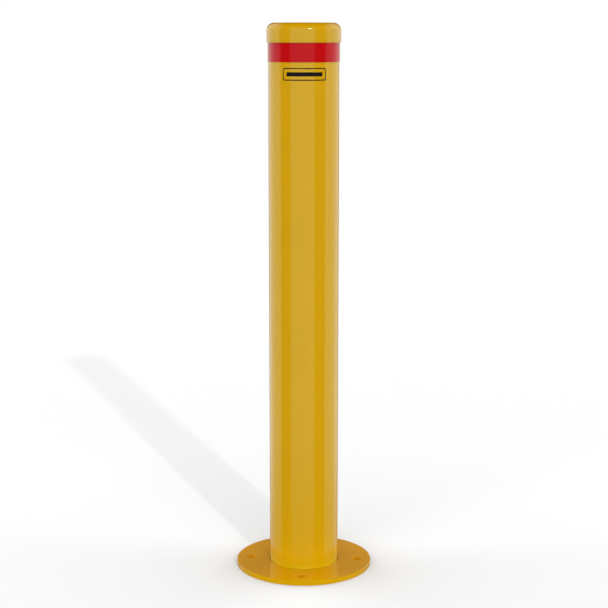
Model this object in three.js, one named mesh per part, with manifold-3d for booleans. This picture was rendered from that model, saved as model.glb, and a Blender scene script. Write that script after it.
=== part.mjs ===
// Surface-mounted steel safety bollard, in millimetres, +Z up.
// The origin is the centre of the base plate's underside, where the bollard stands on the ground.
// The anchor holes lie on +X, +Y, -X and -Y.
//
// A steel tube stands in the centre hole of a round base plate. Its lower end stops short of the
// plate's underside, and a ring of weld fills that step, so nothing stands below the plate.
// A moulded cap pushes over the tube's top end and lifts off along +Z. Crush ribs inside its skirt
// grip the tube, and the tube's end stops against the cap's round inside corner.
// A reflective band is wrapped round the tube and runs up under the cap's skirt.

import * as THREE from 'three';
import { mergeVertices } from 'three/addons/utils/BufferGeometryUtils.js';
import Module from 'manifold-3d';

// ---- driving dimensions ----
const overallHeight = 1101.5;
const gap = 0.3; // between pieces that touch
const roundSteps = 72; // sides of a full circle
const sharedVertexDistance = 1e-4;

const plate = { diameter: 275, thickness: 10, edge: 0.6, holeClearance: 1.0 };
const anchor = { count: 4, diameter: 18, circle: 220, chamfer: 0.7, steps: 24 };
const tube = { diameter: 139.7, wall: 5, rise: 4.8 }; // rise: lower end above the plate's underside
const weld = { setback: 0.9, throat: 2.2, toe: 0.6 };
const cap = { diameter: 146, height: 38, wall: 2.5, corner: 15, lip: 0.3, mouthWall: 1.7 };
const grip = { count: 16, width: 3, land: 1.5 }; // land: where the ribs start, above the band
const band = { width: 50, exposed: 37.1, thickness: 0.5 };
const label = { width: 88, height: 24, corner: 4, thickness: 0.35, middle: 1003.7, turn: 4.5 };

// ---- colours ----
const paintYellow = 0xd2a00c;
const plasticYellow = 0xd4a20e;
const tapeRed = 0xb9141c;
const vinylBlack = 0x0c0c0c;

// ---- radii and heights that follow from the dimensions ----
const tubeRadius = tube.diameter / 2;
const boreRadius = tubeRadius - tube.wall;
const plateHoleRadius = tubeRadius + plate.holeClearance;
const bandRadius = tubeRadius + gap + band.thickness;
const skirtRadius = cap.diameter / 2;
const capBottom = overallHeight - cap.height;
const bandBottom = capBottom - band.exposed;
const bandTop = bandBottom + band.width;
const cornerRadius = skirtRadius - cap.corner; // the middle of the cap's round corner
const cornerHeight = overallHeight - cap.corner;
const insideCorner = cap.corner - cap.wall;
const tubeTop = cornerHeight + Math.sqrt((insideCorner - gap) ** 2 - (tubeRadius - cornerRadius) ** 2);

const wasm = await Module();
wasm.setup();

// Joins shared vertices and drops the triangles that collapse on the axis.
function closedMesh(geometry) {
  geometry.deleteAttribute('normal');
  geometry.deleteAttribute('uv');
  const merged = mergeVertices(geometry, sharedVertexDistance);
  const corners = merged.index.array;
  const kept = [];
  for (let i = 0; i < corners.length; i += 3) {
    const [a, b, c] = corners.slice(i, i + 3);
    if (a !== b && b !== c && c !== a) kept.push(a, b, c);
  }
  return { numProp: 3, vertProperties: merged.attributes.position.array, triVerts: new Uint32Array(kept) };
}

function solidFrom(geometry) {
  return new wasm.Manifold(new wasm.Mesh(closedMesh(geometry)));
}

function geometryFrom(solid) {
  const mesh = solid.getMesh();
  const indexed = new THREE.BufferGeometry();
  indexed.setAttribute('position', new THREE.BufferAttribute(mesh.vertProperties, 3));
  indexed.setIndex(new THREE.BufferAttribute(mesh.triVerts, 1));
  const faceted = indexed.toNonIndexed();
  faceted.computeVertexNormals();
  return faceted;
}

// Turns a closed outline of (radius, height) points, walked up its outer side, about +Z.
function turned(outline, steps = roundSteps) {
  return solidFrom(new THREE.LatheGeometry(outline, steps).rotateX(Math.PI / 2));
}

function turnedCorners(corners, steps) {
  return turned(corners.map(([radius, height]) => new THREE.Vector2(radius, height)), steps);
}

function ring(innerRadius, outerRadius, bottom, top) {
  return turnedCorners([
    [innerRadius, bottom],
    [outerRadius, bottom],
    [outerRadius, top],
    [innerRadius, top],
    [innerRadius, bottom],
  ]);
}

function piece(name, solid, color, roughness, metalness) {
  const material = new THREE.MeshStandardMaterial({ color, roughness, metalness });
  const mesh = new THREE.Mesh(geometryFrom(solid), material);
  mesh.name = name;
  return mesh;
}

// ---- base plate: a disc with round edges, a centre hole and chamfered anchor holes ----
function anchorHole(angle) {
  const radius = anchor.diameter / 2;
  const past = 1; // how far the cutter stands past the plate
  const mouth = radius + anchor.chamfer + past;
  const top = plate.thickness;
  const cutter = turnedCorners(
    [
      [0, -past],
      [mouth, -past],
      [radius, anchor.chamfer],
      [radius, top - anchor.chamfer],
      [mouth, top + past],
      [0, top + past],
    ],
    anchor.steps,
  );
  const reach = anchor.circle / 2;
  return cutter.translate([reach * Math.cos(angle), reach * Math.sin(angle), 0]);
}

function basePlate() {
  const { thickness, edge } = plate;
  const flat = plate.diameter / 2 - edge;
  const outline = new THREE.Path();
  outline.moveTo(plateHoleRadius, 0);
  outline.lineTo(flat, 0);
  outline.absarc(flat, edge, edge, -Math.PI / 2, 0, false);
  outline.absarc(flat, thickness - edge, edge, 0, Math.PI / 2, false);
  outline.lineTo(plateHoleRadius, thickness);
  outline.lineTo(plateHoleRadius, 0);
  let disc = turned(outline.getPoints(1));
  for (let i = 0; i < anchor.count; i++) {
    disc = disc.subtract(anchorHole((i * 2 * Math.PI) / anchor.count));
  }
  return piece('base_plate', disc, paintYellow, 0.35, 0);
}

// ---- post tube: stands in the plate's hole ----
function postTube() {
  return piece('post_tube', ring(boreRadius, tubeRadius, tube.rise, tubeTop), paintYellow, 0.3, 0);
}

// ---- weld: fills the step below the tube's end, with a hollow face, set back from the ground ----
function baseWeld() {
  const outer = plateHoleRadius - gap;
  const top = tube.rise - gap;
  const inner = boreRadius + weld.toe;
  const outline = new THREE.Path();
  outline.moveTo(inner, top - weld.toe);
  outline.quadraticCurveTo(inner + weld.throat, weld.setback + weld.toe, outer, weld.setback);
  outline.lineTo(outer, top);
  outline.lineTo(inner, top);
  outline.lineTo(inner, top - weld.toe);
  return piece('base_weld', turned(outline.getPoints(3)), paintYellow, 0.35, 0);
}

// ---- cap: crown, round corner, skirt with a round lip, and crush ribs that grip the tube ----
function crushRibs(bottom, top) {
  const crest = tubeRadius + gap;
  const root = skirtRadius - cap.wall / 2;
  const ribs = [];
  for (let i = 0; i < grip.count; i++) {
    const box = new THREE.BoxGeometry(root - crest, grip.width, top - bottom);
    box.translate((root + crest) / 2, 0, (top + bottom) / 2);
    ribs.push(solidFrom(box.rotateZ(((i + 0.5) * 2 * Math.PI) / grip.count)));
  }
  return ribs;
}

function pushOnCap() {
  const { wall, lip, corner } = cap;
  const mouth = skirtRadius - cap.mouthWall; // wider at the bottom, to pass over the band
  const landBottom = bandTop + grip.land;
  const outline = new THREE.Path();
  outline.moveTo(mouth, capBottom);
  outline.lineTo(skirtRadius - lip, capBottom);
  outline.absarc(skirtRadius - lip, capBottom + lip, lip, -Math.PI / 2, 0, false);
  outline.absarc(cornerRadius, cornerHeight, corner, 0, Math.PI / 2, false);
  outline.lineTo(0, overallHeight);
  outline.lineTo(0, overallHeight - wall);
  outline.absarc(cornerRadius, cornerHeight, insideCorner, Math.PI / 2, 0, true);
  outline.lineTo(skirtRadius - wall, landBottom);
  outline.lineTo(mouth, landBottom - wall);
  outline.lineTo(mouth, capBottom);
  let shell = turned(outline.getPoints(3));
  for (const rib of crushRibs(landBottom, cornerHeight)) shell = shell.add(rib);
  return piece('cap', shell, plasticYellow, 0.25, 0);
}

// ---- reflective band: wrapped round the tube, its top edge under the cap's skirt ----
function reflectiveBand() {
  const wrap = ring(tubeRadius + gap, bandRadius, bandBottom, bandTop);
  return piece('reflective_band', wrap, tapeRed, 0.35, 0);
}

// ---- label: a blank rounded rectangle, bent round the tube below the band ----
function roundedRectangle(width, height, radius) {
  const [x, y] = [width / 2 - radius, height / 2 - radius];
  const shape = new THREE.Shape();
  shape.absarc(x, y, radius, 0, Math.PI / 2, false);
  shape.absarc(-x, y, radius, Math.PI / 2, Math.PI, false);
  shape.absarc(-x, -y, radius, Math.PI, 1.5 * Math.PI, false);
  shape.absarc(x, -y, radius, 1.5 * Math.PI, 2 * Math.PI, false);
  return shape;
}

function makerLabel() {
  const inner = tubeRadius + gap;
  const bend = label.width / (2 * inner); // half the angle that the label goes round
  const halfChord = inner * Math.sin(bend);
  const outline = roundedRectangle(2 * halfChord, label.height, label.corner);
  const settings = { depth: 2 * inner, bevelEnabled: false, curveSegments: 4 };
  const block = new THREE.ExtrudeGeometry(outline, settings);
  block.rotateX(Math.PI / 2); // the outline now faces -Y
  block.rotateZ(THREE.MathUtils.degToRad(label.turn));
  block.translate(0, 0, label.middle);
  const reach = label.height; // past the block above and below, so only the block trims the label
  const skin = ring(inner, inner + label.thickness, label.middle - reach, label.middle + reach);
  return piece('maker_label', skin.intersect(solidFrom(block)), vinylBlack, 0.45, 0);
}

const group = new THREE.Group();
group.add(basePlate(), postTube(), baseWeld(), pushOnCap(), reflectiveBand(), makerLabel());

export default group;
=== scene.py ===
"""Looks of the surface-mounted steel safety bollard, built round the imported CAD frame.

Everything is in metres, +Z up, with the base plate's underside at z = 0 and the anchor holes on the
X and Y axes. Each CAD node is replaced by a finer mesh of the same size.
"""

import math

import bmesh
import bpy
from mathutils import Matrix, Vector


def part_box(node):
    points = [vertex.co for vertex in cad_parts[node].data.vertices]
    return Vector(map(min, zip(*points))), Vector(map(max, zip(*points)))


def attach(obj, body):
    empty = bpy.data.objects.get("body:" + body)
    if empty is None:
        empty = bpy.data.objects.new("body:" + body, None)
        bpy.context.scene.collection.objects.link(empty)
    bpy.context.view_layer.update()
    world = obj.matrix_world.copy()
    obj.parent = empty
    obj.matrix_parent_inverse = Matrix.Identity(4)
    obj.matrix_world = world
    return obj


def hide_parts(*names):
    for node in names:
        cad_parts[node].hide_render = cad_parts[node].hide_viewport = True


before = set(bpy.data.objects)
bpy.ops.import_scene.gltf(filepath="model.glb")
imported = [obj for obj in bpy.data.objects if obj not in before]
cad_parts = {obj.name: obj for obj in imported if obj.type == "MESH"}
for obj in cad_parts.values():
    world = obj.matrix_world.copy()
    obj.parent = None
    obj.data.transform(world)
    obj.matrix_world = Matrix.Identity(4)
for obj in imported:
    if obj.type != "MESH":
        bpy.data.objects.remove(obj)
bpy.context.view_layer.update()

MM = 0.001
TURN = 2 * math.pi


# ---------------------------------------------------------------- sizes, from the frame and the real part

def half_width(node):
    low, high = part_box(node)
    return (high.x - low.x) / 2


def heights(node):
    low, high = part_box(node)
    return low.z, high.z


PLATE_RADIUS = half_width("base_plate")
PLATE_TOP = heights("base_plate")[1]
TUBE_RADIUS = half_width("post_tube")
TUBE_BOTTOM, TUBE_TOP = heights("post_tube")
CAP_RADIUS = half_width("cap")
CAP_BOTTOM, CAP_TOP = heights("cap")
BAND_RADIUS = half_width("reflective_band")
BAND_BOTTOM, BAND_TOP = heights("reflective_band")
WELD_BOTTOM, WELD_TOP = heights("base_weld")
LABEL_BOTTOM, LABEL_TOP = heights("maker_label")

TUBE_WALL = 5 * MM
BORE_RADIUS = TUBE_RADIUS - TUBE_WALL
PLATE_HOLE_RADIUS = TUBE_RADIUS + 1 * MM
PLATE_EDGE = 0.6 * MM
ANCHOR_COUNT = 4
ANCHOR_CIRCLE_RADIUS = 110 * MM
ANCHOR_RADIUS = 9 * MM
ANCHOR_EDGE = 0.7 * MM
CUTTER_PAST = 1 * MM  # how far a cutter stands past the plate
CAP_CORNER = 15 * MM
CAP_WALL = 2.5 * MM
CAP_LIP = 0.15 * MM
CAP_MOUTH_WALL = 1.7 * MM
RIB_COUNT = 16
RIB_HALF_WIDTH = 1.5 * MM
RIB_GAP = 0.3 * MM  # between the ribs' crests and the tube
RIB_SETBACK = 1.5 * MM  # the ribs start this far above the band
WELD_TOE = 0.6 * MM
BAND_SEAM_TURN = math.radians(190)
BAND_SEAM_WIDTH = 0.8 * MM
LABEL_HALF_WIDTH = 44 * MM
LABEL_CORNER = 4 * MM
LABEL_FRAME = 2 * MM  # the width of the frame
LABEL_BAR_INSET = 8 * MM  # from the label's edge to its bar
LABEL_TURN = math.radians(4.5)
LABEL_THICKNESS = 0.3 * MM
FILM_GAP = 0.02 * MM  # what is stuck to the tube stands this far off it
ROUND_STEPS = 256


# ---------------------------------------------------------------- mesh helpers

def arc(radius, centre, start, end, steps):
    """Points (radius, height) of an arc about centre, from start to end degrees."""
    points = []
    for i in range(steps + 1):
        a = math.radians(start + (end - start) * i / steps)
        points.append((centre[0] + radius * math.cos(a), centre[1] + radius * math.sin(a)))
    return points


def even_angles(steps):
    return [TURN * i / steps for i in range(steps)]


def on_cylinder(radius, angle, height):
    """A point round the post, where angle 0 faces -Y and a positive angle turns towards +X."""
    return Vector((radius * math.sin(angle), -radius * math.cos(angle), height))


def new_object(name, bm):
    bmesh.ops.remove_doubles(bm, verts=bm.verts, dist=1e-7)
    bmesh.ops.recalc_face_normals(bm, faces=bm.faces)
    mesh = bpy.data.meshes.new(name)
    bm.to_mesh(mesh)
    bm.free()
    piece = bpy.data.objects.new(name, mesh)
    bpy.context.scene.collection.objects.link(piece)
    return piece


def revolve(name, outline, angles, adjust=None):
    """Turns a closed outline of (radius, height) points about Z. adjust may move each point."""
    bm = bmesh.new()
    columns = []
    for angle in angles:
        column = []
        for radius, height in outline:
            if adjust:
                radius, height = adjust(angle, radius, height)
            column.append(bm.verts.new(on_cylinder(radius, angle, height)))
        columns.append(column)
    for i, column in enumerate(columns):
        join_columns(bm, column, columns[(i + 1) % len(columns)], outline)
    return new_object(name, bm)


def join_columns(bm, column, beside, outline):
    """Faces between two neighbouring columns; points on the axis give triangles."""
    for j, (radius, _) in enumerate(outline):
        k = (j + 1) % len(outline)
        on_axis, next_on_axis = radius == 0, outline[k][0] == 0
        if on_axis and next_on_axis:
            continue
        corners = [column[j], beside[j], beside[k], column[k]]
        if on_axis:
            corners = [column[j], beside[k], column[k]]
        if next_on_axis:
            corners = [column[j], beside[j], column[k]]
        bm.faces.new(corners)


def shade(piece, sharp_degrees=32):
    """Smooth faces, sharp edges where faces meet at more than sharp_degrees, and flats kept flat."""
    mesh = piece.data
    mesh.shade_smooth()
    mesh.set_sharp_from_angle(angle=math.radians(sharp_degrees))
    flats = piece.modifiers.new("keep_flats_flat", "WEIGHTED_NORMAL")
    flats.mode = "FACE_AREA"
    flats.keep_sharp = True


def combine(piece, others, operation):
    """Joins each of the others to the piece, or cuts it out, and deletes it."""
    for other in others:
        step = piece.modifiers.new("combine", "BOOLEAN")
        step.operation = operation
        step.solver = "EXACT"
        step.object = other
    graph = bpy.context.evaluated_depsgraph_get()
    mesh = bpy.data.meshes.new_from_object(piece.evaluated_get(graph))
    piece.modifiers.clear()
    piece.data = mesh
    for other in others:
        bpy.data.objects.remove(other)


# ---------------------------------------------------------------- pieces

def make_base_plate():
    rim = PLATE_RADIUS - PLATE_EDGE
    inner_edge = 0.15 * MM
    outline = [(PLATE_HOLE_RADIUS, 0)]
    outline += arc(PLATE_EDGE, (rim, PLATE_EDGE), -90, 0, 6)
    outline += arc(PLATE_EDGE, (rim, PLATE_TOP - PLATE_EDGE), 0, 90, 6)
    outline += arc(inner_edge, (PLATE_HOLE_RADIUS + inner_edge, PLATE_TOP - inner_edge), 90, 180, 3)
    plate = revolve("base_plate_finished", outline, even_angles(ROUND_STEPS))
    cutters = [make_anchor_cutter(TURN * i / ANCHOR_COUNT) for i in range(ANCHOR_COUNT)]
    combine(plate, cutters, "DIFFERENCE")
    shade(plate)
    return plate


def make_anchor_cutter(angle):
    """The space of one anchor hole, with its rounded edges, standing past both faces."""
    wide = ANCHOR_RADIUS + ANCHOR_EDGE
    outline = [(0, -CUTTER_PAST), (wide, -CUTTER_PAST)]
    outline += arc(ANCHOR_EDGE, (wide, ANCHOR_EDGE), -90, -180, 4)
    outline += arc(ANCHOR_EDGE, (wide, PLATE_TOP - ANCHOR_EDGE), 180, 90, 4)
    outline += [(wide, PLATE_TOP + CUTTER_PAST), (0, PLATE_TOP + CUTTER_PAST)]
    cutter = revolve("anchor_cutter", outline, even_angles(64))
    cutter.location = on_cylinder(ANCHOR_CIRCLE_RADIUS, angle, 0)
    return cutter


def make_post_tube():
    """The tube, with an eased top end and the rolled tube's seam standing a little proud inside the bore.
    """
    edge = 0.5 * MM
    outline = [(BORE_RADIUS, TUBE_BOTTOM), (TUBE_RADIUS, TUBE_BOTTOM)]
    outline += arc(edge, (TUBE_RADIUS - edge, TUBE_TOP - edge), 0, 90, 4)
    outline += arc(edge, (BORE_RADIUS + edge, TUBE_TOP - edge), 90, 180, 4)
    seam_turn = math.radians(200)
    seam_half_width = 2.2 * MM
    seam_height = 0.6 * MM
    seam_steps = 14  # extra points on each side of the seam
    seam_step = math.radians(0.35)

    def seam(angle, radius, height):
        if radius < BORE_RADIUS + edge:
            away = (angle - seam_turn) * BORE_RADIUS / seam_half_width
            radius -= seam_height * math.exp(-away * away)
        return radius, height

    seam_angles = [seam_turn + seam_step * i for i in range(-seam_steps, seam_steps + 1)]
    angles = sorted({round(a, 6) for a in even_angles(ROUND_STEPS) + seam_angles})
    tube = revolve("post_tube_finished", outline, angles, seam)
    shade(tube)
    return tube


def make_base_weld():
    """A rippled bead under the tube's end, hollow-faced and set back from the ground."""
    outer = PLATE_HOLE_RADIUS - FILM_GAP
    inner = BORE_RADIUS + WELD_TOE
    toe = WELD_TOP - WELD_TOE
    ripples = 140
    ripple_steps = 6
    ripple_depth = 0.35 * MM
    ripple_bow = 5
    toe_share = 0.2  # of a ripple's height that is left at the bore
    face_steps = 6
    outline = [(outer, WELD_TOP), (inner, WELD_TOP)]
    for i in range(face_steps + 1):
        t = i / face_steps
        outline.append((inner + (outer - inner) * t, WELD_BOTTOM + (toe - WELD_BOTTOM) * (1 - t) ** 2))

    def ripple(angle, radius, height):
        if height < WELD_TOP:
            across = (radius - inner) / (outer - inner)
            swell = 0.5 + 0.5 * math.cos(ripples * angle + ripple_bow * across * across)
            height += ripple_depth * swell * math.sin(math.pi * min(1, across + toe_share))
        return radius, height

    weld = revolve("base_weld_finished", outline, even_angles(ripples * ripple_steps), ripple)
    shade(weld, 60)
    return weld


def make_cap():
    corner = (CAP_RADIUS - CAP_CORNER, CAP_TOP - CAP_CORNER)
    mouth = CAP_RADIUS - CAP_MOUTH_WALL
    land = CAP_RADIUS - CAP_WALL
    land_bottom = BAND_TOP + RIB_SETBACK
    inner_edge = 0.3 * MM
    outline = arc(inner_edge, (mouth + inner_edge, CAP_BOTTOM + inner_edge), 180, 270, 3)
    outline += arc(CAP_LIP, (CAP_RADIUS - CAP_LIP, CAP_BOTTOM + CAP_LIP), -90, 0, 6)
    outline += arc(CAP_CORNER, corner, 0, 90, 16)
    outline += [(0, CAP_TOP), (0, CAP_TOP - CAP_WALL)]
    outline += arc(CAP_CORNER - CAP_WALL, corner, 90, 0, 12)
    outline += [(land, land_bottom), (mouth, land_bottom - CAP_WALL)]
    cap = revolve("cap_finished", outline, even_angles(ROUND_STEPS))
    combine(cap, [make_crush_ribs(land, land_bottom, corner[1])], "UNION")
    shade(cap)
    return cap


def make_crush_ribs(land, bottom, top):
    """Low round-nosed ribs inside the skirt that grip the tube. Their backs sit in the wall."""
    root = land + CAP_WALL / 2
    crest = TUBE_RADIUS + RIB_GAP
    foot = land + 0.2 * MM  # just inside the wall
    lead_in = 2 * MM
    nose_steps = 8
    bm = bmesh.new()
    for i in range(RIB_COUNT):
        middle = TURN * (i + 0.5) / RIB_COUNT
        rings = []
        for height, share in ((bottom, 0), (bottom + lead_in, 1), (top - lead_in, 1), (top, 0)):
            section = [(root, 1), (root, -1)]
            for j in range(nose_steps + 1):
                across = 2 * j / nose_steps - 1
                rise = (foot - crest) * share * math.sqrt(1 - across * across)
                section.append((foot - rise, across))
            rings.append([
                bm.verts.new(on_cylinder(radius, middle + across * RIB_HALF_WIDTH / land, height))
                for radius, across in section
            ])
        for lower, upper in zip(rings, rings[1:]):
            for j in range(len(lower)):
                k = (j + 1) % len(lower)
                bm.faces.new((lower[j], lower[k], upper[k], upper[j]))
        bm.faces.new(rings[0])
        bm.faces.new(rings[-1])
    return new_object("crush_ribs", bm)


def make_reflective_band():
    """A strip wrapped round the tube whose ends meet at a narrow seam behind."""
    inner = TUBE_RADIUS + FILM_GAP
    edge = 0.15 * MM
    outline = [(inner, BAND_BOTTOM)]
    outline += arc(edge, (BAND_RADIUS - edge, BAND_BOTTOM + edge), -90, 0, 3)
    outline += arc(edge, (BAND_RADIUS - edge, BAND_TOP - edge), 0, 90, 3)
    outline += [(inner, BAND_TOP)]
    half_seam = BAND_SEAM_WIDTH / 2 / BAND_RADIUS
    start = BAND_SEAM_TURN + half_seam
    reach = TURN - 2 * half_seam
    bm = bmesh.new()
    columns = []
    for i in range(ROUND_STEPS + 1):
        angle = start + reach * i / ROUND_STEPS
        columns.append([bm.verts.new(on_cylinder(radius, angle, height)) for radius, height in outline])
    for column, beside in zip(columns, columns[1:]):
        join_columns(bm, column, beside, outline)
    bm.faces.new(columns[0])
    bm.faces.new(columns[-1])
    band = new_object("reflective_band_finished", bm)
    shade(band)
    return band


def rounded_outline(half_width, half_height, radius):
    """The upper half of a rounded rectangle, left to right, as (across, up) points."""
    corner_steps = 8
    straight_steps = 36
    right = arc(radius, (half_width - radius, half_height - radius), 90, 0, corner_steps)
    left = [(-across, up) for across, up in reversed(right)]
    span = 2 * (half_width - radius)
    middle = [(span * (i / straight_steps - 0.5), half_height) for i in range(1, straight_steps)]
    return left + middle + right


def make_maker_label():
    """A blank label bent round the tube: a black frame and bar on the paint's yellow."""
    middle = (LABEL_BOTTOM + LABEL_TOP) / 2
    half_height = (LABEL_TOP - LABEL_BOTTOM) / 2
    inner = TUBE_RADIUS + FILM_GAP
    outer = inner + LABEL_THICKNESS
    smallest_corner = 1 * MM

    def place(radius, across, up):
        return on_cylinder(radius, LABEL_TURN + across / TUBE_RADIUS, middle + up)

    bm = bmesh.new()
    loops = []
    for inset in (0, LABEL_FRAME, LABEL_BAR_INSET):
        corner = max(LABEL_CORNER - inset, smallest_corner)
        upper = rounded_outline(LABEL_HALF_WIDTH - inset, half_height - inset, corner)
        tops = [bm.verts.new(place(outer, across, up)) for across, up in upper]
        bottoms = [bm.verts.new(place(outer, across, -up)) for across, up in upper]
        loops.append((tops, bottoms))
    edge = rounded_outline(LABEL_HALF_WIDTH, half_height, LABEL_CORNER)
    backs = [[bm.verts.new(place(inner, across, side * up)) for across, up in edge] for side in (1, -1)]

    def strip(first, second, slot):
        for a, b, c, d in zip(first, first[1:], second[1:], second):
            bm.faces.new((a, b, c, d)).material_index = slot

    black, yellow = 0, 1
    for (outer_loop, inner_loop), slot in ((loops[:2], black), (loops[1:], yellow)):
        for side in (0, 1):
            strip(outer_loop[side], inner_loop[side], slot)
        for end in (0, -1):
            corners = [outer_loop[0][end], inner_loop[0][end], inner_loop[1][end], outer_loop[1][end]]
            bm.faces.new(corners).material_index = slot
    strip(loops[2][0], loops[2][1], black)
    strip(backs[0], backs[1], black)
    for side in (0, 1):
        strip(loops[0][side], backs[side], black)
    for end in (0, -1):
        bm.faces.new((loops[0][0][end], loops[0][1][end], backs[1][end], backs[0][end]))
    label = new_object("maker_label_finished", bm)
    shade(label)
    return label


# ---------------------------------------------------------------- materials

def add(tree, kind, settings=None, **inputs):
    """A node of the kind with its settings; an input is a value, or a socket to link from."""
    node = tree.nodes.new(kind)
    for key, value in (settings or {}).items():
        setattr(node, key, value)
    for key, value in inputs.items():
        socket = node.inputs[int(key[1:])] if key[0] == "i" and key[1:].isdigit() else node.inputs[key]
        if isinstance(value, bpy.types.NodeSocket):
            tree.links.new(value, socket)
        else:
            socket.default_value = value
    return node


def new_material(name, base, roughness, specular=0.5, tint=(1, 1, 1)):
    material = bpy.data.materials.new(name)
    material.use_nodes = True
    material.diffuse_color = (*base, 1)
    shader = material.node_tree.nodes["Principled BSDF"]
    shader.inputs["Base Color"].default_value = (*base, 1)
    shader.inputs["Roughness"].default_value = roughness
    shader.inputs["Specular IOR Level"].default_value = specular
    shader.inputs["Specular Tint"].default_value = (*tint, 1)
    return material, material.node_tree, shader


def object_point(tree):
    return add(tree, "ShaderNodeTexCoord").outputs["Object"]


def noise(tree, point, scale, detail=2.0, roughness=0.5):
    made = add(tree, "ShaderNodeTexNoise", Vector=point, Scale=scale, Detail=detail, Roughness=roughness)
    return made.outputs["Fac"]


def spread(tree, value, low, high):
    """Takes a value between 0.3 and 0.7, as noise gives, to between low and high."""
    ranged = add(tree, "ShaderNodeMapRange", None, i0=value, i1=0.3, i2=0.7, i3=low, i4=high)
    return ranged.outputs[0]


def blend_colours(tree, share, first, second):
    mixed = add(tree, "ShaderNodeMix", {"data_type": "RGBA"}, i0=share)
    for index, colour in ((6, first), (7, second)):
        if isinstance(colour, bpy.types.NodeSocket):
            tree.links.new(colour, mixed.inputs[index])
        else:
            mixed.inputs[index].default_value = (*colour, 1)
    return mixed.outputs[2]


def scaled(colour, share):
    return tuple(c * share for c in colour)


def bump(tree, shader, height, strength, distance):
    made = add(tree, "ShaderNodeBump", None, Strength=strength, Distance=distance, Height=height)
    tree.links.new(made.outputs["Normal"], shader.inputs["Normal"])


def upwardness(tree):
    """How far a face looks up: 1 for a flat top, 0 for an upright face."""
    normal = add(tree, "ShaderNodeNewGeometry").outputs["Normal"]
    return add(tree, "ShaderNodeSeparateXYZ", None, Vector=normal).outputs["Z"]


def drifting(tree, point, scale, detail, base, drift):
    """The base colour, a little lighter and darker from place to place."""
    share = spread(tree, noise(tree, point, scale, detail), 0, 1)
    return blend_colours(tree, share, scaled(base, 1 - drift), scaled(base, 1 + drift))


def uneven_gloss(tree, shader, point, scale, roughness):
    patches = noise(tree, point, scale, 3)
    uneven = spread(tree, patches, roughness * (1 - GLOSS_DRIFT), roughness * (1 + GLOSS_DRIFT))
    tree.links.new(uneven, shader.inputs["Roughness"])


def powder_coat(name, base, roughness, specular, side_base=None):
    """Gloss powder coat: faint colour drift, uneven gloss and a fine orange peel.

    side_base is the colour of faces that stand upright, where it differs from the flat top's; the two
    colours are painted light on one paint.
    """
    material, tree, shader = new_material(name, base, roughness, specular, YELLOW_GLOSS)
    point = object_point(tree)
    colour = drifting(tree, point, 6, 2, base, PAINT_DRIFT)
    if side_base:
        # upright faces take side_base and flat tops the base: painted light
        colour = blend_colours(tree, upwardness(tree), side_base, colour)
    tree.links.new(colour, shader.inputs["Base Color"])
    uneven_gloss(tree, shader, point, 40, roughness)
    bump(tree, shader, noise(tree, point, 420, 1), 0.01, 0.03 * MM)
    return material


def bare_steel(name):
    """The uncoated bore: dark mill scale with rusty patches and a dusting of yellow at its top."""
    dusting_depth = 60 * MM
    material, tree, shader = new_material(name, MILL_SCALE, 0.55)
    shader.inputs["Metallic"].default_value = 0.6
    point = object_point(tree)
    patches = spread(tree, noise(tree, point, 22, 5, 0.6), -0.4, 1.2)
    rusty = blend_colours(tree, patches, MILL_SCALE, RUST)
    height = add(tree, "ShaderNodeSeparateXYZ", None, Vector=point).outputs["Z"]
    near_top = add(tree, "ShaderNodeMapRange", {"interpolation_type": "SMOOTHSTEP"},
                   i0=height, i1=TUBE_TOP - dusting_depth, i2=TUBE_TOP).outputs[0]
    speckle = spread(tree, noise(tree, point, 900, 2), 0.2, 1.4)
    dusting = add(tree, "ShaderNodeMath", {"operation": "MULTIPLY", "use_clamp": True},
                  i0=near_top, i1=speckle).outputs[0]
    tree.links.new(blend_colours(tree, dusting, rusty, PAINT), shader.inputs["Base Color"])
    bump(tree, shader, noise(tree, point, 160, 4), 0.25, 0.2 * MM)
    return material


def moulded_plastic(name, base, roughness, side_base):
    """Gloss moulded plastic: very fine grain and slightly uneven gloss."""
    material, tree, shader = new_material(name, base, roughness, GLOSS_SPECULAR, YELLOW_GLOSS)
    point = object_point(tree)
    colour = drifting(tree, point, 14, 2, base, PAINT_DRIFT)
    # flat tops take the base colour and upright faces side_base: painted shade on the top
    colour = blend_colours(tree, upwardness(tree), side_base, colour)
    tree.links.new(colour, shader.inputs["Base Color"])
    uneven_gloss(tree, shader, point, 60, roughness)
    bump(tree, shader, noise(tree, point, 1500, 2), 0.015, 0.03 * MM)
    return material


def reflective_tape(name, base, roughness):
    """Red reflective sheeting: small sealed cells under a clear glossy face."""
    wall_shade, cell_shade = 1.06, 0.99
    material, tree, shader = new_material(name, base, roughness, 0.5, RED_GLOSS)
    point = object_point(tree)
    cells = add(tree, "ShaderNodeTexVoronoi", {"feature": "DISTANCE_TO_EDGE"}, Vector=point, Scale=330,
                Randomness=0.15).outputs["Distance"]
    walls = add(tree, "ShaderNodeMapRange", None, i0=cells, i1=0.02, i2=0.10).outputs[0]
    colour = blend_colours(tree, walls, scaled(base, wall_shade), scaled(base, cell_shade))
    tree.links.new(colour, shader.inputs["Base Color"])
    uneven_gloss(tree, shader, point, 80, roughness)
    bump(tree, shader, walls, 0.04, 0.02 * MM)
    return material


def label_vinyl(name, base, roughness, specular, tint):
    """Printed vinyl with a very fine grain."""
    material, tree, shader = new_material(name, base, roughness, specular, tint)
    point = object_point(tree)
    colour = drifting(tree, point, 60, 3, base, VINYL_DRIFT)
    tree.links.new(colour, shader.inputs["Base Color"])
    uneven_gloss(tree, shader, point, 300, roughness)
    bump(tree, shader, noise(tree, point, 1800, 2), 0.03, 0.03 * MM)
    return material


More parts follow.
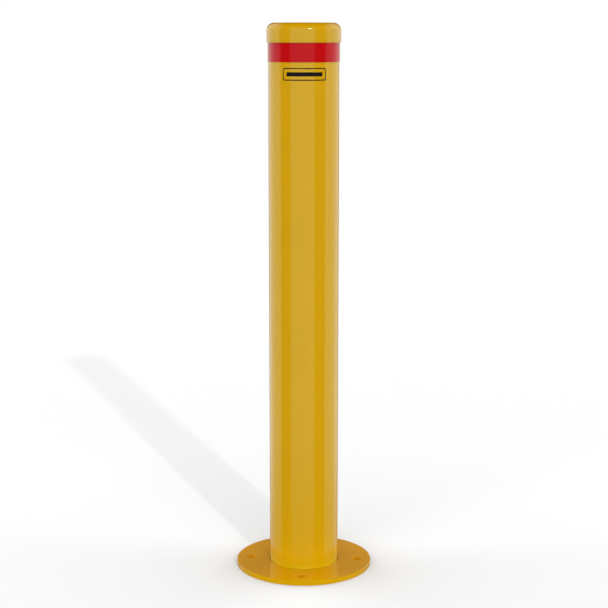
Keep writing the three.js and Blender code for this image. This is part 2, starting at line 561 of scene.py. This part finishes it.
PAINT = (0.520, 0.277, 0.001)
# the cap's yellow with painted shade, for its flat top
CAP_TOP_PAINTED_SHADE = (0.542, 0.273, 0.001)
# the plate's top: the paint made more orange as painted bounce light from the tube
PLATE_PAINTED_BOUNCE = (0.563, 0.258, 0.0005)
# the plate's upright faces: a lighter copy of the paint, painted light
RIM_PAINTED_LIGHT = (0.54, 0.286, 0.002)
# the hole walls: a lighter copy of the paint, painted light
HOLE_PAINTED_LIGHT = (0.64, 0.272, 0.0005)
TAPE_RED = (0.412, 0.002, 0.003)
VINYL_BLACK = (0.006, 0.006, 0.006)
MILL_SCALE = (0.20, 0.17, 0.15)
RUST = (0.22, 0.10, 0.045)
PAINT_DRIFT = 0.015
VINYL_DRIFT = 0.03
GLOSS_ROUGHNESS = 0.09
GLOSS_SPECULAR = 0.95
GLOSS_DRIFT = 0.15
RED_GLOSS = (1.0, 0.42, 0.52)  # tint of the gloss on the tape
YELLOW_GLOSS = (0.6, 1.0, 0.51)  # tint of the gloss on everything yellow
NO_TINT = (1, 1, 1)


def finish_piece(piece, body, node, slot, *materials):
    for material in materials:
        piece.data.materials.append(material)
    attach(piece, body)
    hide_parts(node)


def give_second_material(piece, chosen):
    """Faces that chosen(distance of the middle from the axis, normal) picks get the second material."""
    for face in piece.data.polygons:
        if chosen(math.hypot(face.center.x, face.center.y), face.normal):
            face.material_index = 1


# ---------------------------------------------------------------- build the object

coat = powder_coat("post_powder_coat", PAINT, GLOSS_ROUGHNESS, GLOSS_SPECULAR)
# the plate's coat carries painted light: a more orange top for the tube's bounce and a lighter rim
plate_coat_painted_light = powder_coat("plate_powder_coat_painted_light", PLATE_PAINTED_BOUNCE, 0.025, 0.5, RIM_PAINTED_LIGHT)
# the hole walls' coat: the plate's paint lightened as painted light
hole_coat_painted_light = powder_coat("hole_powder_coat_painted_light", HOLE_PAINTED_LIGHT, 0.5, 0.1)

tube = make_post_tube()
finish_piece(tube, "post", "post_tube", "post_paint", coat, bare_steel("bore_steel"))
BORE_REACH = BORE_RADIUS + 0.1 * MM
give_second_material(tube, lambda distance, normal: distance < BORE_REACH)

plate = make_base_plate()
finish_piece(plate, "post", "base_plate", "plate_paint", plate_coat_painted_light, hole_coat_painted_light)
HOLES_REACH = PLATE_RADIUS - 5 * MM
# upright faces inside the rim, the hole walls, get the lighter hole coat: painted light
give_second_material(plate, lambda distance, normal: abs(normal.z) < 0.5 and distance < HOLES_REACH)

# the weld takes the plate's coat with its painted light
finish_piece(make_base_weld(), "post", "base_weld", "plate_paint", plate_coat_painted_light)
# the cap's top is a shaded copy of the paint: painted shade
finish_piece(make_cap(), "cap", "cap", "cap_plastic",
             moulded_plastic("cap_plastic_painted_shade", CAP_TOP_PAINTED_SHADE, 0.12, PAINT))
finish_piece(make_reflective_band(), "post", "reflective_band", "reflective_tape",
             reflective_tape("red_reflective_tape", TAPE_RED, 0.12))
finish_piece(make_maker_label(), "post", "maker_label", "label_vinyl",
             label_vinyl("label_black", VINYL_BLACK, 0.40, 0.1, NO_TINT),
             label_vinyl("label_yellow", PAINT, GLOSS_ROUGHNESS, GLOSS_SPECULAR, YELLOW_GLOSS))


# ---------------------------------------------------------------- studio

CAMERA_TURN = math.radians(3.36)  # from -Y towards +X
CAMERA_DISTANCE = 2.965
CAMERA_HEIGHT = 1.0858
CAMERA_PITCH = math.radians(10.345)
CAMERA_YAW = math.radians(-0.0077)
CAMERA_LENS = 88.62
CAMERA_SENSOR = 36

KEY_TURN, KEY_RISE, KEY_POWER, KEY_SIZE = 20.57, 27.9, 0.65, 1.2
TOP_POWER, TOP_SIZE = 0.82, 40
BOUNCE_WIDTH = 7 * MM  # past the tube
BOUNCE_LIFT = 0.05 * MM
BOUNCE_POWER = 0.079
BOUNCE_COLOUR = (0.55, 1.0, 0.30)

FLOOR_RADIUS = 14.0
FLOOR_WHITE = (0.821, 0.826, 0.835)
FLOOR_ROUGHNESS = 0.8
FADE_START, FADE_END = 2.6, 4.5  # where the floor turns plain white, from the axis
SHADE_REACH = 1.0
# A painted contact shade on the floor: darker next to the plate, lighter further out.
FLOOR_SHADE = [  # share of the floor's colour, by distance from the plate's rim
    (0, 0.839), (3 * MM, 0.878), (6 * MM, 0.917), (20 * MM, 0.9415), (50 * MM, 0.961), (90 * MM, 0.9756),
    (300 * MM, 0.9756), (750 * MM, 1.0),
]

# Brightness of the light panels by degrees from the camera's side, right of it positive. Reflections
# show a front panel, two side panels and, straight behind, only a low warm glow.
GLOSS_BRIGHTNESS = 2.0
GLOSS_FRONT = [
    (-180, 0.0), (-81.8, 0.0), (-78.8, 0.05), (-45.0, 0.05), (-42.0, 0.33), (33.4, 0.33), (36.4, 0.05),
    (72.0, 0.05), (75.0, 0.0), (180, 0.0),
]
GLOSS_SIDES = [
    (-180, 0.0), (-162, 0.0), (-150, 0.63), (-144, 0.63), (-127, 0.57), (-114, 0.475), (-97, 0.42),
    (-81.8, 0.40), (-78.8, 0.0), (72.0, 0.0), (75.0, 0.40), (97, 0.42), (114, 0.475), (127, 0.56),
    (138, 0.60), (146, 0.50), (160, 0.0), (180, 0.0),
]
BEHIND_SHARE = [
    (-180, 0.85), (-162, 0.8), (-150, 0.0), (150, 0.0), (162, 1.0), (177, 1.0), (180, 0.85),
]
MATT_BRIGHTNESS = 2.67
MATT_PANELS = [
    (-180, 0.08), (-160, 0.08), (-150, 1.0), (-81.8, 1.0), (-78.8, 0.08), (-45.0, 0.08), (-42.0, 1.0),
    (33.4, 1.0), (36.4, 0.08), (72.0, 0.08), (75.0, 1.0), (150, 1.0), (160, 0.08), (180, 0.08),
]

# The same by degrees above the horizon. The low glow has its own colours.
PANEL_HEIGHTS = [
    (-90, 0.0), (-20.5, 0.0), (-20.0, 0.36), (-19.3, 0.42), (-17.8, 0.70), (-15.5, 1.0), (35, 1.0),
    (52, 0.0),
]
SIDE_HEIGHTS = [
    (-90, 0.12), (-20.6, 0.12), (-20.0, 0.45), (-17.8, 0.74), (-15.5, 1.0), (35, 1.0), (52, 0.0),
]
BEHIND_HEIGHTS = [
    (-90, 0.0), (-22, (0.30, 0.22, 0.03)), (-18.5, (0.32, 0.245, 0.09)), (-15.5, (0.30, 0.26, 0.19)),
    (-4, (0.30, 0.26, 0.19)), (-1.5, (0.46, 0.40, 0.29)), (1, (0.54, 0.47, 0.35)), (9, (0.12, 0.10, 0.05)),
    (22, 0.09), (52, 0.0),
]


def make_camera():
    data = bpy.data.cameras.new("camera")
    data.lens = CAMERA_LENS
    data.sensor_width = CAMERA_SENSOR
    camera = bpy.data.objects.new("camera", data)
    camera.location = on_cylinder(CAMERA_DISTANCE, CAMERA_TURN, CAMERA_HEIGHT)
    camera.rotation_euler = (math.pi / 2 - CAMERA_PITCH, 0, CAMERA_TURN + CAMERA_YAW)
    bpy.context.scene.collection.objects.link(camera)
    bpy.context.scene.camera = camera


def light_only(light, group, *names):
    """Lets the light reach nothing but the named pieces."""
    receivers = bpy.data.collections.new(group)
    for name in names:
        receivers.objects.link(bpy.data.objects[name])
    light.light_linking.receiver_collection = receivers


def make_distant_light(name, turn, rise, power, size):
    """Placed by its turn from the camera's side and its rise. Both, and its size, are in degrees."""
    data = bpy.data.lights.new(name, "SUN")
    data.energy = power
    data.angle = math.radians(size)
    light = bpy.data.objects.new(name, data)
    turn = CAMERA_TURN + math.radians(turn)
    rise = math.radians(rise)
    towards = on_cylinder(math.cos(rise), turn, math.sin(rise))
    light.rotation_euler = towards.to_track_quat("Z", "Y").to_euler()
    bpy.context.scene.collection.objects.link(light)
    return light


def make_lights():
    """A small key right of the camera, which casts the long shadow, and a soft top light low down."""
    make_distant_light("key", KEY_TURN, KEY_RISE, KEY_POWER, KEY_SIZE)
    top = make_distant_light("top", 0, 90, TOP_POWER, TOP_SIZE)
    top.visible_glossy = False
    light_only(top, "near_ground", "studio_floor", "base_plate_finished", "base_weld_finished",
               "post_tube_finished")


def make_bounce():
    """What the gloss plate throws up on to the foot of the tube: a glow just above the plate."""
    data = bpy.data.lights.new("bounce", "AREA")
    data.shape = "DISK"
    data.size = 2 * (TUBE_RADIUS + BOUNCE_WIDTH)
    data.energy = BOUNCE_POWER
    data.color = BOUNCE_COLOUR
    glow = bpy.data.objects.new("bounce", data)
    glow.location = (0, 0, PLATE_TOP + BOUNCE_LIFT)
    glow.rotation_euler = (math.pi, 0, 0)
    glow.visible_camera = False
    glow.visible_glossy = False
    bpy.context.scene.collection.objects.link(glow)
    light_only(glow, "foot_of_tube", "post_tube_finished")


def calculate(tree, operation, *values):
    inputs = {f"i{i}": value for i, value in enumerate(values)}
    return add(tree, "ShaderNodeMath", {"operation": operation}, **inputs).outputs[0]


def calculate_colour(tree, operation, **inputs):
    return add(tree, "ShaderNodeVectorMath", {"operation": operation}, **inputs).outputs[0]


def ramp(tree, value, low, high, stops):
    """A curve of stops over low to high, each (value, grey) or (value, colour)."""
    share = add(tree, "ShaderNodeMapRange", None, i0=value, i1=low, i2=high).outputs[0]
    node = add(tree, "ShaderNodeValToRGB", None, i0=share)
    colours = node.color_ramp
    while len(colours.elements) > 1:
        colours.elements.remove(colours.elements[-1])
    for i, (at, shade_there) in enumerate(stops):
        place = (at - low) / (high - low)
        stop = colours.elements.new(place) if i else colours.elements[0]
        stop.position = place
        stop.color = (*shade_there, 1) if isinstance(shade_there, tuple) else (*[shade_there] * 3, 1)
    return node.outputs["Color"]


def make_floor():
    """A pale floor with a painted contact shade, darker towards the plate, that turns plain white far
    away.
    """
    bm = bmesh.new()
    bmesh.ops.create_circle(bm, cap_ends=True, segments=64, radius=FLOOR_RADIUS)
    floor = new_object("studio_floor", bm)
    material, tree, shader = new_material("studio_floor", FLOOR_WHITE, FLOOR_ROUGHNESS, 0.0)
    from_axis = add(tree, "ShaderNodeVectorMath", {"operation": "LENGTH"}, i0=object_point(tree))
    away = from_axis.outputs["Value"]
    from_rim = calculate(tree, "SUBTRACT", away, PLATE_RADIUS)
    shade_here = ramp(tree, from_rim, 0, SHADE_REACH, FLOOR_SHADE)
    shaded = calculate_colour(tree, "MULTIPLY", i0=shade_here, i1=FLOOR_WHITE)
    tree.links.new(shaded, shader.inputs["Base Color"])
    fade = add(tree, "ShaderNodeMapRange", {"interpolation_type": "SMOOTHSTEP"},
               i0=away, i1=FADE_START, i2=FADE_END)
    white = add(tree, "ShaderNodeEmission", None, Color=(1, 1, 1, 1), Strength=1.0)
    mixed = add(tree, "ShaderNodeMixShader", None, i0=fade.outputs[0], i1=shader.outputs[0],
                i2=white.outputs[0])
    tree.links.new(mixed.outputs[0], tree.nodes["Material Output"].inputs["Surface"])
    floor.data.materials.append(material)
    floor.visible_glossy = False
    floor.visible_diffuse = False


def make_world():
    """Soft light panels round the object. The camera sees plain white behind the floor."""
    world = bpy.data.worlds.new("studio")
    bpy.context.scene.world = world
    world.use_nodes = True
    tree = world.node_tree
    tree.nodes.clear()
    direction = add(tree, "ShaderNodeTexCoord").outputs["Generated"]
    turned = add(tree, "ShaderNodeVectorRotate", {"rotation_type": "Z_AXIS"},
                 Vector=direction, Angle=-CAMERA_TURN)
    parts = add(tree, "ShaderNodeSeparateXYZ", None, Vector=turned.outputs[0]).outputs
    to_camera = calculate(tree, "MULTIPLY", parts["Y"], -1.0)
    turn = calculate(tree, "DEGREES", calculate(tree, "ARCTAN2", parts["X"], to_camera))
    rise = calculate(tree, "DEGREES", calculate(tree, "ARCSINE", parts["Z"]))

    def by_turn(stops):
        return ramp(tree, turn, -180, 180, stops)

    def by_rise(stops):
        return ramp(tree, rise, -90, 90, stops)

    panel_heights = by_rise(PANEL_HEIGHTS)
    front = calculate(tree, "MULTIPLY", by_turn(GLOSS_FRONT), panel_heights)
    sides = calculate(tree, "MULTIPLY", by_turn(GLOSS_SIDES), by_rise(SIDE_HEIGHTS))
    panels = calculate(tree, "MULTIPLY", calculate(tree, "ADD", front, sides), GLOSS_BRIGHTNESS)
    behind_share = calculate(tree, "MULTIPLY", by_turn(BEHIND_SHARE), GLOSS_BRIGHTNESS)
    behind = calculate_colour(tree, "SCALE", i0=by_rise(BEHIND_HEIGHTS), Scale=behind_share)
    gloss = calculate_colour(tree, "ADD", i0=panels, i1=behind)
    matt_panels = calculate(tree, "MULTIPLY", by_turn(MATT_PANELS), MATT_BRIGHTNESS)
    matt = calculate(tree, "MULTIPLY", matt_panels, panel_heights)

    path = add(tree, "ShaderNodeLightPath").outputs
    seen = blend_colours(tree, path["Is Glossy Ray"], matt, gloss)
    shown = blend_colours(tree, path["Is Camera Ray"], seen, (1, 1, 1))
    light = add(tree, "ShaderNodeBackground", None, Color=shown, Strength=1.0)
    add(tree, "ShaderNodeOutputWorld", None, Surface=light.outputs[0])


make_camera()
make_floor()
make_lights()
make_bounce()
make_world()
bpy.context.scene.view_settings.view_transform = "Standard"
